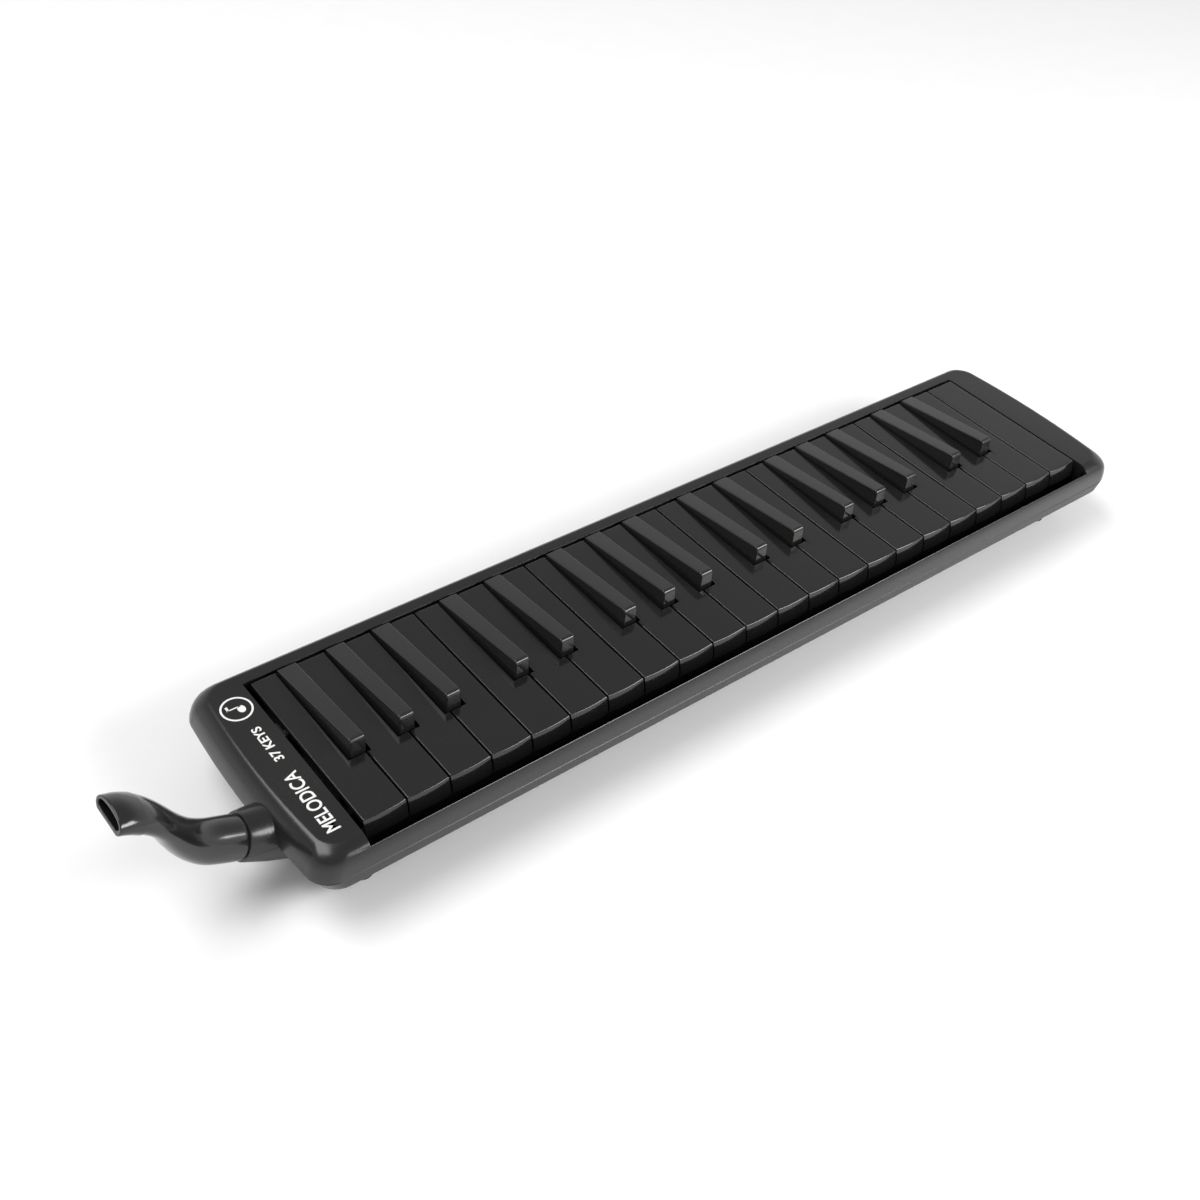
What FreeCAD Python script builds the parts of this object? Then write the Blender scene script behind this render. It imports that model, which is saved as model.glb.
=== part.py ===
import FreeCAD, Part
import Sketcher
import math
import os
from FreeCAD import Vector as V

# A 37-key melodica: a wind instrument with free reeds, a piano keyboard and a plug-in mouthpiece.
# Millimetres. X runs from the bass end to the treble end, +Y to the rear, +Z up.
# The sub-parts are drawn with the bass front corner of the lowest key at X0 Y0 and the key tops at
# Z0, and moved together at the end so the origin is the bottom centre of the bounding box.

os.makedirs("parts", exist_ok=True)
doc = FreeCAD.newDocument("melodica")
sheet = doc.addObject("Spreadsheet::Sheet", "size")


class Size:
    """A number together with the spreadsheet expression that gives it."""
    def __init__(self, value, text):
        self.value, self.text = value, text

    def join(self, other, sign, value):
        other = lift(other)
        return Size(value(self.value, other.value), "(%s %s %s)" % (self.text, sign, other.text))

    def __add__(self, other):
        return self.join(other, "+", lambda a, b: a + b)

    def __sub__(self, other):
        return self.join(other, "-", lambda a, b: a - b)

    def __mul__(self, other):
        return self.join(other, "*", lambda a, b: a * b)

    def __truediv__(self, other):
        return self.join(other, "/", lambda a, b: a / b)

    def __radd__(self, other):
        return lift(other) + self

    def __rsub__(self, other):
        return lift(other) - self

    def __rmul__(self, other):
        return lift(other) * self

    def __neg__(self):
        return lift(0.0) - self


def lift(item):
    return item if isinstance(item, Size) else Size(float(item), "%.6f" % float(item))


def cell(alias, value):
    cell.row += 1
    sheet.set("A%d" % cell.row, alias)
    sheet.set("B%d" % cell.row, "%s" % value)
    sheet.setAlias("B%d" % cell.row, alias)
    return Size(value, "size." + alias)


cell.row = 0

# Keyboard
pitch = cell("key_pitch", 19.5)
keyLength = cell("key_length", 84.5)
keyGap = cell("key_gap", 0.9)
keyFront = cell("key_front_height", 8.5)
keyPlate = cell("key_plate", 2.4)
keyArc = cell("key_front_arc", 1.3)
blackFront = cell("black_front_y", 29.2)
blackWide = cell("black_rear_width", 9.0)
blackNarrow = cell("black_front_width", 7.5)
blackRise = cell("black_front_rise", 8.4)
blackRear = cell("black_rear_rise", 1.5)
blackClear = cell("black_clearance", 0.55)
# Key action
axleY = keyLength - cell("axle_from_rear", 22.5)
axleZ = cell("axle_z", -10.0)
axleRadius = cell("axle_radius", 1.5)
axleFit = cell("axle_fit", 0.06)
webWidth = cell("web_width", 5.0)
padY = keyLength - cell("pad_from_rear", 8.5)
padLength = cell("pad_length", 11.0)
padThick = cell("pad_thickness", 2.0)
# Case
caseTop = cell("case_top_z", -1.0)
splitZ = cell("split_z", -13.6)
bandZ = cell("band_z", -18.0)
floorZ = cell("floor_z", -38.0)
wall = cell("wall", 2.2)
blockLength = cell("end_block", 24.0)
bow = cell("end_bow", 3.2)
frontY = cell("case_front_y", -11.0)
rearY = keyLength + cell("rear_margin", 13.0)
railY = cell("rail_inner_y", -9.2)
slotGap = cell("slot_gap", 1.95)
rearGap = cell("rear_gap", 2.7)
# Air chamber
chamberTop = cell("chamber_top_z", -18.0)
chamberRim = cell("chamber_rim_z", -30.7)
chamberFront = cell("chamber_front_y", 18.0)
chamberRear = keyLength - cell("chamber_rear_inset", 0.5)
chamberEnd = cell("chamber_end", 1.5)
gasket = cell("gasket", 0.5)
cover = cell("cover_thickness", 1.8)
# Mouthpiece
mouthY = cell("mouth_y", 27.3)
mouthX = -(blockLength + bow + cell("mouth_reach", 10.0))
mouthZ = cell("mouth_z", -11.5)
mouthTilt = cell("mouth_tilt", 20.0)
bossRadius = cell("boss_radius", 9.8)

keyCount = 22
length = pitch * keyCount
lowBlack = {0: -0.15, 1: 0.0, 2: 0.13, 4: -0.12, 5: 0.09}
blackSteps = [b for b in range(1, keyCount) if (b - 1) % 7 in lowBlack]


def blackCentre(step):
    return pitch * (step + lowBlack[(step - 1) % 7])


def bind(item, path, size):
    item.setExpression(path, lift(size).text)


def place(item, x, y, z):
    """Put a primitive at three sizes, in its own placement."""
    for axis, size in zip("xyz", (x, y, z)):
        bind(item, "Placement.Base." + axis, size)


def newBody(label):
    body = doc.addObject("PartDesign::Body", label)
    body.Label = label
    return body


def feature(body, kind, name):
    item = body.newObject("PartDesign::" + kind, name)
    body.Tip = item
    return item


def box(body, name, x, y, z, cut=False):
    """A box between pairs of sizes, added to the body or cut from it."""
    item = feature(body, "SubtractiveBox" if cut else "AdditiveBox", name)
    start = [lift(pair[0]) for pair in (x, y, z)]
    for prop, pair in zip(("Length", "Width", "Height"), (x, y, z)):
        bind(item, prop, lift(pair[1]) - lift(pair[0]))
    place(item, *start)
    return item


def rod(body, name, radius, height, x, y, z, axis="z", cut=False):
    item = feature(body, "SubtractiveCylinder" if cut else "AdditiveCylinder", name)
    bind(item, "Radius", radius)
    bind(item, "Height", height)
    turn = {"z": FreeCAD.Rotation(), "x": FreeCAD.Rotation(V(0, 1, 0), 90)}[axis]
    item.Placement = FreeCAD.Placement(V(0, 0, 0), turn)
    place(item, x, y, z)
    return item


def plane(body, role):
    return [f for f in body.Origin.OriginFeatures if f.Role == role][0]


def sketch(body, name, role, offset=0.0):
    item = body.newObject("Sketcher::SketchObject", name)
    item.AttachmentSupport = [(plane(body, role), "")]
    item.MapMode = "FlatFace"
    bind(item, "AttachmentOffset.Base.z", offset)
    return item


def pin(item, shape, end, point, tag):
    """Hold one end of an edge at a pair of sizes measured from the origin."""
    for kind, size, axis in (("DistanceX", point[0], "x"), ("DistanceY", point[1], "y")):
        size = lift(size)
        row = item.addConstraint(Sketcher.Constraint(kind, -1, 1, shape, end, size.value))
        item.renameConstraint(row, axis + tag)
        item.setExpression("Constraints." + axis + tag, size.text)


def flat(size):
    return V(lift(size[0]).value, lift(size[1]).value, 0)


def outline(item, points, arcs=()):
    """Closed anticlockwise outline; arcs maps an edge number to the radius it bulges out with."""
    arcs = dict(arcs)
    count = len(points)
    for i, point in enumerate(points):
        a, b = flat(point), flat(points[(i + 1) % count])
        if i in arcs:
            radius, half = lift(arcs[i]).value, (b - a) * 0.5
            side = math.sqrt(max(radius ** 2 - half.Length ** 2, 0.0)) / half.Length
            centre = a + half + V(-half.y, half.x, 0) * side
            start = math.atan2(a.y - centre.y, a.x - centre.x)
            end = math.atan2(b.y - centre.y, b.x - centre.x)
            item.addGeometry(Part.ArcOfCircle(Part.Circle(centre, V(0, 0, 1), radius), start,
                                              end + (2 * math.pi if end < start else 0)))
        else:
            item.addGeometry(Part.LineSegment(a, b))
    for i, point in enumerate(points):
        pin(item, i, 1, point, "s%d" % i)
        item.addConstraint(Sketcher.Constraint("Coincident", i, 2, (i + 1) % count, 1))
        if i in arcs:
            row = item.addConstraint(Sketcher.Constraint("Radius", i, lift(arcs[i]).value))
            item.renameConstraint(row, "r%d" % i)
            item.setExpression("Constraints.r%d" % i, lift(arcs[i]).text)


def rounded(item, x, y, radius, bulge):
    """Case outline: bowed ends and corner arcs that meet the bow tangentially."""
    lean = 2 * bulge.value / ((y[1] - y[0]).value / 2 - radius.value)
    c, s = 1 - math.cos(lean), 1 - math.sin(lean)
    half = (y[1] - y[0]) * 0.5 - radius * s
    endRadius = half * half / (2 * bulge) + bulge * 0.5
    points = [(x[0] + radius, y[0]), (x[1] - radius, y[0]),
              (x[1] - radius * c, y[0] + radius * s), (x[1] - radius * c, y[1] - radius * s),
              (x[1] - radius, y[1]), (x[0] + radius, y[1]),
              (x[0] + radius * c, y[1] - radius * s), (x[0] + radius * c, y[0] + radius * s)]
    outline(item, points, {1: radius, 2: endRadius, 3: radius, 5: radius, 6: endRadius, 7: radius})


def loft(body, name, sections, cut=False, ruled=False):
    item = feature(body, "SubtractiveLoft" if cut else "AdditiveLoft", name)
    item.Profile = sections[0]
    item.Sections = sections[1:]
    item.Ruled = ruled
    return item


def caseSection(body, name, z, inset, grow=0.0):
    """Outline of the case at a height: inset is how far the wall stands in from the split line."""
    front, rear, end = inset
    item = sketch(body, name, "XY_Plane", z)
    x = (-blockLength + end + grow, length + blockLength - end - grow)
    y = (frontY + front + grow, rearY - rear - grow)
    rounded(item, x, y, lift(9.0 - grow), bow)
    return item


def bossProfile(body, name, radii):
    """Half profile of a round part on the tilted mouthpiece axis, in its own sketch plane."""
    item = body.newObject("Sketcher::SketchObject", name)
    item.AttachmentSupport = [(plane(body, "XZ_Plane"), "")]
    item.MapMode = "FlatFace"
    item.AttachmentOffset = FreeCAD.Placement(V(0, 0, 0), FreeCAD.Rotation(V(0, 0, 1), 1))
    bind(item, "AttachmentOffset.Base.x", mouthX)
    bind(item, "AttachmentOffset.Base.y", mouthZ)
    bind(item, "AttachmentOffset.Base.z", -mouthY)
    bind(item, "AttachmentOffset.Rotation.Angle", -mouthTilt)
    outline(item, radii)
    return item


def revolve(body, name, profile, cut=False):
    item = feature(body, "Groove" if cut else "Revolution", name)
    item.Profile = profile
    item.ReferenceAxis = (profile, ["H_Axis"])
    item.Angle = 360.0
    return item


def boss(body, keepUpper):
    """Half of the tapered boss round the socket, parted at the split line."""
    r = bossRadius
    revolve(body, "boss", bossProfile(body, "boss_profile",
            [(0, 0), (20, 0), (20, r + 2.6), (11, r + 1.9), (3, r + 0.6), (0.6, r), (0, r - 0.6)]))
    z = (-60, splitZ) if keepUpper else (splitZ, 30)
    box(body, "boss_split", (-60, -8), (0, 60), z, cut=True)


def upperCase():
    body = newBody("upper_case")
    rise = caseTop - splitZ
    flanks = ((0.0, (0, 0, 0)), (0.45, (0.1, 0.6, 1.0)), (0.66, (0.6, 1.3, 2.2)),
              (0.8, (1.9, 2.3, 3.8)), (0.92, (4.1, 3.5, 5.6)), (1.0, (6.4, 5.0, 7.6)))
    outer = [caseSection(body, "outer%d" % i, splitZ + rise * part, inset)
             for i, (part, inset) in enumerate(flanks)]
    loft(body, "shell", outer, ruled=True)
    boss(body, True)
    hollow = ((-0.05, (0, 0, 0)), (0.6, (0.7, 1.6, 2.3)), (0.82, (3.6, 3.3, 5.2)))
    inner = [caseSection(body, "inner%d" % i, splitZ + rise * part, inset, wall)
             for i, (part, inset) in enumerate(hollow)]
    loft(body, "cavity", inner, cut=True, ruled=True)
    x = (-slotGap, length + slotGap)
    rear = keyLength + rearGap
    box(body, "key_slot", x, (railY, rear), (splitZ - 1, 5), cut=True)
    depth = (-12.0, caseTop - 1.0)
    box(body, "bass_cheek", (x[0] - wall, x[0]), (railY + 3, rear + wall), depth)
    box(body, "treble_cheek", (x[1], x[1] + wall), (railY + 3, rear + wall), depth)
    box(body, "rear_cheek", (x[0], x[1]), (rear, rear + wall), depth)
    for i, (px, py) in enumerate(screwSpots()):
        rod(body, "pillar%d" % i, 3.5, caseTop - 1.0 - splitZ, px, py, splitZ)
        rod(body, "pilot%d" % i, 1.0, 9.0, px, py, splitZ - 1.0, cut=True)
    revolve(body, "socket_bore", bossProfile(body, "bore_profile",
            [(-1, 0), (45, 0), (45, 7.6), (-1, 7.6)]), cut=True)
    return body


def screwSpots():
    return [(x, y) for x in (lift(-6.0), length + 6.0) for y in (lift(8.0), rearY - 17.5)]


def lowerCase():
    body = newBody("lower_case")
    same = (0, 0, 0)
    waist, foot = (0, 0, 3.4), (14.0, 11.0, 13.0)
    top = caseSection(body, "rim", splitZ, same)
    band = caseSection(body, "band", bandZ, waist)
    loft(body, "rim_band", [top, band], ruled=True)
    base = caseSection(body, "base", floorZ, foot)
    loft(body, "tray", [band, base], ruled=True)
    boss(body, False)
    rimIn = caseSection(body, "rim_in", splitZ + 0.5, same, wall)
    bandIn = caseSection(body, "band_in", bandZ, waist, wall)
    loft(body, "rim_cavity", [rimIn, bandIn], cut=True, ruled=True)
    floorIn = caseSection(body, "floor_in", floorZ + wall, foot, wall)
    loft(body, "tray_cavity", [bandIn, floorIn], cut=True, ruled=True)
    floor = floorZ + wall
    box(body, "felt_shelf", (2, length - 2), (3.5, 5.5), (floor - 0.2, feltZ()))
    for i in range(4):
        x = length * (0.125 + 0.25 * i)
        box(body, "standoff%d" % i, (x - 1.0, x + 1.0), (chamberFront, chamberRear),
            (floor - 0.2, coverZ()))
    for i, (px, py) in enumerate(screwSpots()):
        rod(body, "post%d" % i, 3.5, splitZ - floor + 0.2, px, py, floor - 0.2)
        rod(body, "screw_way%d" % i, 1.6, splitZ - floorZ + 2, px, py, floorZ - 1, cut=True)
        rod(body, "head_well%d" % i, 3.1, 9.0, px, py, floorZ - 1, cut=True)
    for i, (px, py) in enumerate(footSpots()):
        rod(body, "foot_seat%d" % i, 2.0, wall + 2, px, py, floorZ - 1, cut=True)
    px, py = drainSpot()
    rod(body, "drain_way", 4.9, wall + 2, px, py, floorZ - 1, cut=True)
    revolve(body, "socket_bore", bossProfile(body, "bore_profile",
            [(-1, 0), (45, 0), (45, 7.6), (-1, 7.6)]), cut=True)
    return body


def feltZ():
    return lift(-15.0)


def coverZ():
    return chamberRim - gasket - cover


def footSpots():
    return [(x, y) for x in (lift(4.0), length - 4.0) for y in (lift(8.0), rearY - 19.5)]


def drainSpot():
    return length - 22.0, lift(27.2)


def mouthLoft(name, stations, shrink):
    """Loft through oval sections, each square to the centre line of the mouthpiece."""
    ovals = []
    for i, (x, z, lean, across, thick) in enumerate(stations):
        oval = doc.addObject("Part::Ellipse", "%s_oval%d" % (name, i))
        bind(oval, "MajorRadius", lift(across - shrink))
        bind(oval, "MinorRadius", lift(thick - shrink - 0.01))
        turn = math.radians(lean)
        along, up = V(-math.cos(turn), 0, math.sin(turn)), V(-math.sin(turn), 0, -math.cos(turn))
        oval.Placement = FreeCAD.Placement(V(0, 0, 0), FreeCAD.Rotation(V(0, 1, 0), up, along, "ZXY"))
        place(oval, mouthX + x, mouthY, mouthZ + z)
        ovals.append(oval)
    item = doc.addObject("Part::Loft", name)
    item.Sections, item.Solid, item.Ruled = ovals, True, False
    return item


def mouthpiece():
    """S-shaped mouthpiece: spigot, round root, narrow throat and a flat beak with a slot."""
    body = newBody("mouthpiece_spigot")
    revolve(body, "spigot", bossProfile(body, "spigot_profile",
            [(-3, 0), (14, 0), (14, 6.6), (12, 6.6), (12, 5.7), (9.6, 5.7), (9.6, 6.6),
             (0.4, 6.75), (-3, 6.75)]))
    bore = newBody("mouthpiece_bore")
    revolve(bore, "bore", bossProfile(bore, "bore_profile",
            [(-9, 0), (16, 0), (16, 4.9), (-9, 4.9)]))
    stations = ((-0.5, 0.2, 20, 9.2, 9.2), (-6.6, 3.0, 25, 9.2, 9.1), (-13.0, 6.4, 31, 9.1, 8.7),
                (-17.6, 10.6, 45, 9.0, 7.7), (-21.3, 15.4, 56, 9.0, 6.8), (-24.6, 21.2, 62, 9.1, 6.0),
                (-27.6, 27.2, 62, 9.3, 5.3), (-30.8, 32.6, 54, 9.5, 4.9), (-34.8, 37.6, 42, 9.6, 4.7),
                (-39.6, 41.3, 28, 9.6, 4.3), (-44.4, 43.4, 20, 9.5, 3.7))
    inside = stations[1:-1] + ((-46.3, 44.1, 20, 9.5, 3.7),)
    shell = doc.addObject("Part::MultiFuse", "mouthpiece_shell")
    shell.Shapes = [body, mouthLoft("mouth_tube", stations, 0.0)]
    return cutFrom(shell, (bore, mouthLoft("mouth_windway", inside, 1.7)), "mouthpiece")


def whiteSides(number):
    """Left and right edges of the rear part of a white key, between its black neighbours."""
    left, right = pitch * (number - 1) + keyGap * 0.5, pitch * number - keyGap * 0.5
    notchLeft = notchRight = None
    if number - 1 in blackSteps:
        notchLeft = blackCentre(number - 1) + blackWide * 0.5 + blackClear
    if number in blackSteps:
        notchRight = blackCentre(number) - blackWide * 0.5 - blackClear
    return left, right, notchLeft, notchRight


def action(body, centre, start):
    """Web with the axle bore and the tail leg that carries the valve pad."""
    half = webWidth * 0.5
    side = (centre - half, centre + half)
    box(body, "web", side, (start, keyLength - 1), (axleZ - 3.2, -keyPlate + 0.2))
    box(body, "leg", side, (padY - 4, padY + 4), (chamberTop + 0.2 + padThick, axleZ))
    rod(body, "bore", axleRadius + axleFit, webWidth + 4, centre - half - 2, axleY, axleZ, "x", True)


def withPad(body, centre, label):
    """The key and its separate rubber valve pad as one node."""
    pad = doc.addObject("Part::Box", label + "_pad")
    for prop, size in (("Length", webWidth + 1.0), ("Width", padLength), ("Height", padThick)):
        bind(pad, prop, size)
    place(pad, centre - webWidth * 0.5 - 0.5, padY - padLength * 0.5, chamberTop + 0.2)
    group = doc.addObject("Part::Compound", label)
    group.Label = label
    group.Links = [body, pad]
    return group


def whiteKey(number):
    label = "white_key_%02d" % number
    body = newBody(label + "_lever")
    left, right, notchLeft, notchRight = whiteSides(number)
    plan = sketch(body, "plan", "XY_Plane", -keyFront)
    half = (right - left) * 0.5
    outline(plan, [(left, 0), (right, 0), (right, keyLength), (left, keyLength)],
            {0: half * half / (2 * keyArc) + keyArc * 0.5})
    pad = feature(body, "Pad", "block")
    pad.Profile = plan
    bind(pad, "Length", keyFront)
    low = -keyFront - 1
    box(body, "hollow", (left + 1.5, right - 1.5), (2.0, blackFront - 2), (low, -keyPlate), True)
    box(body, "under", (left - 1, right + 1), (blackFront - 2, keyLength + 1), (low, -keyPlate), True)
    notch = ((blackFront - blackClear - 0.5, keyLength + 1), (low, 1))
    if notchLeft:
        box(body, "bass_notch", (left - 1, notchLeft), *notch, cut=True)
    if notchRight:
        box(body, "treble_notch", (notchRight, right + 1), *notch, cut=True)
    centre = ((notchLeft or left) + (notchRight or right)) * 0.5
    action(body, centre, lift(22.0))
    return withPad(body, centre, label), centre


def blackKey(index, step):
    label = "black_key_%02d" % index
    body = newBody(label + "_lever")
    centre = blackCentre(step)
    plan = sketch(body, "plan", "XY_Plane", -keyPlate - 1)
    wide, narrow = blackWide * 0.5 + 0.15, blackNarrow * 0.5 + 0.15
    outline(plan, [(centre - narrow, blackFront - 0.2), (centre + narrow, blackFront - 0.2),
                   (centre + wide, keyLength), (centre - wide, keyLength)])
    block = feature(body, "Pad", "block")
    block.Profile = plan
    bind(block, "Length", blackRise + keyPlate + 2)
    block.TaperAngle = -3.0
    top = sketch(body, "slope", "YZ_Plane", centre)
    outline(top, [(blackFront - 5, blackRise + 0.6), (keyLength + 5, blackRear - 0.6),
                  (keyLength + 5, blackRise + 20), (blackFront - 5, blackRise + 20)])
    slope = feature(body, "Pocket", "top")
    slope.Profile = top
    slope.Midplane = True
    slope.Length = 40.0
    action(body, centre, blackFront + 6)
    return withPad(body, centre, label), centre


def keys():
    made = [whiteKey(n + 1) for n in range(keyCount)]
    made += [blackKey(i + 1, step) for i, step in enumerate(blackSteps)]
    return made


def boxes(name, spans):
    """Separate boxes bound to the sheet, as one compound."""
    items = []
    for i, (x, y, z) in enumerate(spans):
        item = doc.addObject("Part::Box", "%s_%d" % (name, i))
        for prop, pair in zip(("Length", "Width", "Height"), (x, y, z)):
            bind(item, prop, lift(pair[1]) - lift(pair[0]))
        place(item, lift(x[0]), lift(y[0]), lift(z[0]))
        items.append(item)
    group = doc.addObject("Part::Compound", name)
    group.Links = items
    return group


def cutFrom(base, tools, label):
    """Cut one or more tools from a base, named as a sub-part."""
    for i, tool in enumerate(tools):
        item = doc.addObject("Part::Cut", "%s_cut%d" % (label, i))
        item.Base, item.Tool = base, tool
        base = item
    base.Label = label
    return base


def reedLength(rank, count):
    """Bass reeds are long and treble reeds short."""
    return 33.0 - 19.0 * rank / (count - 1.0)


def chestSpan():
    """Depth of the wind chest between the thick walls that take the cover screws."""
    return chamberFront + 4.0, chamberRear - 3.4


def airChamber(centres):
    """Wind chamber: one cell and one valve port for each key, open underneath."""
    body = newBody("air_chamber_shell")
    x = (-chamberEnd, length + chamberEnd)
    box(body, "block", x, (chamberFront, chamberRear), (chamberRim, chamberTop))
    box(body, "chest", (x[0] + 2, x[1] - 2), chestSpan(), (chamberRim - 1, chamberTop - 8.0), True)
    box(body, "windway", (x[0] + 2, x[1] - 2), (chestSpan()[0], 32.2),
        (chamberRim - 1, chamberTop - 2.0), True)
    for i, step in enumerate(s for s in range(keyCount + 1) if s not in blackSteps):
        px = pitch * step
        box(body, "post%d" % i, (px - 1.4, px + 1.4), (axleY - 4, axleY + 4),
            (chamberTop - 0.5, axleZ + 3.0))
    revolve(body, "inlet", bossProfile(body, "inlet_profile",
            [(30, 0), (45, 0), (45, 4.55), (30, 4.55)]), cut=True)
    for i, (sx, sy) in enumerate(coverScrews()):
        rod(body, "pilot%d" % i, 0.95, 7.2, sx, sy, chamberRim - 1, cut=True)
    cells = boxes("cells", [((c - 3.2, c + 3.2), (padY - 43, padY + 4.5),
                             (chamberTop - 9, chamberTop - 2)) for c in centres])
    ports = boxes("ports", [((c - 1.7, c + 1.7), (padY - 3.5, padY + 3.5),
                             (chamberTop - 3, chamberTop + 1)) for c in centres])
    axle = doc.addObject("Part::Cylinder", "axle_bores")
    bind(axle, "Radius", axleRadius)
    bind(axle, "Height", length + 20)
    axle.Placement = FreeCAD.Placement(V(0, 0, 0), FreeCAD.Rotation(V(0, 1, 0), 90))
    place(axle, lift(-10.0), axleY, axleZ)
    return cutFrom(body, (cells, ports, axle), "air_chamber")


def chamberCover():
    body = newBody("chamber_cover")
    x = (-chamberEnd, length + chamberEnd)
    top = chamberRim - gasket
    box(body, "sheet", x, (chamberFront, chamberRear), (top - cover, top))
    px, py = drainSpot()
    rod(body, "drain_port", 3.0, cover + 2, px, py, top - cover - 1, cut=True)
    for i, (sx, sy) in enumerate(coverScrews()):
        rod(body, "screw_way%d" % i, 1.1, cover + 2, sx, sy, top - cover - 1, cut=True)
    return body


def coverScrews():
    rows = (chamberFront + 2.0, chamberRear - 1.7)
    return [(length * part + 4.0, y) for part in (0.0, 0.245, 0.49, 0.735, 0.98) for y in rows]


def chamberGasket():
    body = newBody("chamber_gasket")
    x = (-chamberEnd, length + chamberEnd)
    z = (chamberRim - gasket, chamberRim)
    box(body, "ring", x, (chamberFront, chamberRear), z)
    box(body, "window", (x[0] + 2, x[1] - 2), chestSpan(), (z[0] - 1, z[1] + 1), True)
    for i, (sx, sy) in enumerate(coverScrews()):
        rod(body, "screw_way%d" % i, 1.1, gasket + 2, sx, sy, z[0] - 1, cut=True)
    return body



def reedPlates(centres):
    """Two brass plates under the cells, each with one slot for each reed."""
    count = len(centres)
    order = sorted(centres, key=lambda c: c.value)
    middle = count // 2
    split = (order[middle - 1] + order[middle]) * 0.5
    ends = ((order[0] - 4.6, split - 0.5), (split + 0.5, order[-1] + 4.6))
    z = (chamberTop - 9.0, chamberTop - 8.0)
    plates, tongues, rivets = [], [], []
    for side, (x, ranks) in enumerate(zip(ends, (range(middle), range(middle, count)))):
        label = ("reed_plate_bass", "reed_plate_treble")[side]
        body = newBody(label + "_sheet")
        box(body, "sheet", x, (lift(32.7), chestSpan()[1] - 0.2), z)
        slots = boxes(label + "_slots", [((order[r] - 1.2, order[r] + 1.2),
                      (padY - 4 - reedLength(r, count), padY - 4), (z[0] - 1, z[1] + 1)) for r in ranks])
        plates.append(cutFrom(body, (slots,), label))
    for r, centre in enumerate(order):
        tongues.append(((centre - 1.1, centre + 1.1), (padY - 4 - reedLength(r, count) + 0.2, padY + 1.5),
                        (z[0] - 0.3, z[0])))
        rivet = doc.addObject("Part::Cylinder", "rivet_%d" % r)
        bind(rivet, "Radius", lift(0.7))
        bind(rivet, "Height", lift(0.5))
        place(rivet, centre, padY - 1.0, z[0] - 0.8)
        rivets.append(rivet)
    reeds = boxes("reed_tongues", tongues)
    heads = doc.addObject("Part::Compound", "reed_rivets")
    heads.Links = rivets
    return plates + [reeds, heads]


def keyAxle():
    body = newBody("key_axle")
    rod(body, "rod", axleRadius, length + 3.2, lift(-1.6), axleY, axleZ, "x")
    return body


def springComb(centres):
    """Stamped spring-steel comb: a bar on the chamber with one raised finger under each key."""
    body = newBody("key_spring_comb")
    order = sorted(centres, key=lambda c: c.value)
    box(body, "bar", (order[0] - 4, order[-1] + 4), (lift(38.0), lift(45.0)), (chamberTop, chamberTop + 0.4))
    fingers = []
    for i, centre in enumerate(order):
        item = sketch(body, "finger%d" % i, "YZ_Plane", centre)
        outline(item, [(44.0, chamberTop), (45.0, chamberTop), (54.0, axleZ - 4.6),
                       (54.0, axleZ - 4.2), (53.6, axleZ - 4.2), (44.6, chamberTop + 0.4),
                       (44.0, chamberTop + 0.4)])
        pad = feature(body, "Pad", "leaf%d" % i)
        pad.Profile = item
        pad.Midplane = True
        pad.Length = 3.0
    return body


def stopFelt():
    body = newBody("key_stop_felt")
    box(body, "strip", (lift(2.0), length - 2.0), (lift(3.0), lift(6.0)), (feltZ(), feltZ() + 2.0))
    return body


def inletSocket():
    """Tilted socket that holds the mouthpiece spigot and leads into the air chamber."""
    body = newBody("inlet_socket")
    revolve(body, "tube", bossProfile(body, "tube_profile",
            [(0.2, 6.8), (16, 6.8), (20, 3.5), (38.6, 3.5), (38.6, 4.5), (23, 4.5), (18, 7.6), (0.2, 7.6)]))
    return body


def washer(label, start, finish, inner, outer):
    body = newBody(label)
    revolve(body, "ring", bossProfile(body, "ring_profile",
            [(start, inner), (finish, inner), (finish, outer), (start, outer)]))
    return body


def drain():
    """Push button, rubber valve disc and closing spring of the moisture drain."""
    px, py = drainSpot()
    coverTop = chamberRim - gasket
    button = newBody("drain_button")
    rod(button, "head", 4.6, 2.2, px, py, floorZ - 0.4)
    rod(button, "stem", 1.5, coverTop + 0.2 - floorZ - 1.8, px, py, floorZ + 1.8)
    seal = newBody("drain_seal")
    rod(seal, "disc", 4.3, 1.6, px, py, coverTop + 0.2)
    spring = doc.addObject("Part::Helix", "spring_path")
    bind(spring, "Pitch", lift(1.7))
    bind(spring, "Height", chamberTop - 2.4 - (coverTop + 2.2))
    bind(spring, "Radius", lift(2.6))
    place(spring, px, py, coverTop + 2.2)
    wire = doc.addObject("Part::Circle", "spring_wire")
    bind(wire, "Radius", lift(0.3))
    wire.Placement = FreeCAD.Placement(V(0, 0, 0), FreeCAD.Rotation(V(1, 0, 0), 90))
    place(wire, px + 2.6, py, coverTop + 2.2)
    coil = doc.addObject("Part::Sweep", "drain_spring")
    coil.Sections, coil.Spine, coil.Solid, coil.Frenet = [wire], (spring, []), True, True
    return [button, seal, coil]


def turned(label, spots, profile):
    """Copies of one turned piece, each standing on its own spot."""
    items = []
    for i, (x, y, z) in enumerate(spots):
        parts = []
        for j, (radius, start, finish) in enumerate(profile):
            item = doc.addObject("Part::Cylinder", "%s_%d_%d" % (label, i, j))
            bind(item, "Radius", lift(radius))
            bind(item, "Height", lift(finish) - lift(start))
            place(item, x, y, lift(z) + start)
            parts.append(item)
        fused = doc.addObject("Part::MultiFuse", "%s_%d" % (label, i))
        fused.Shapes = parts
        items.append(fused)
    group = doc.addObject("Part::Compound", label)
    group.Label = label
    group.Links = items
    return group


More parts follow.
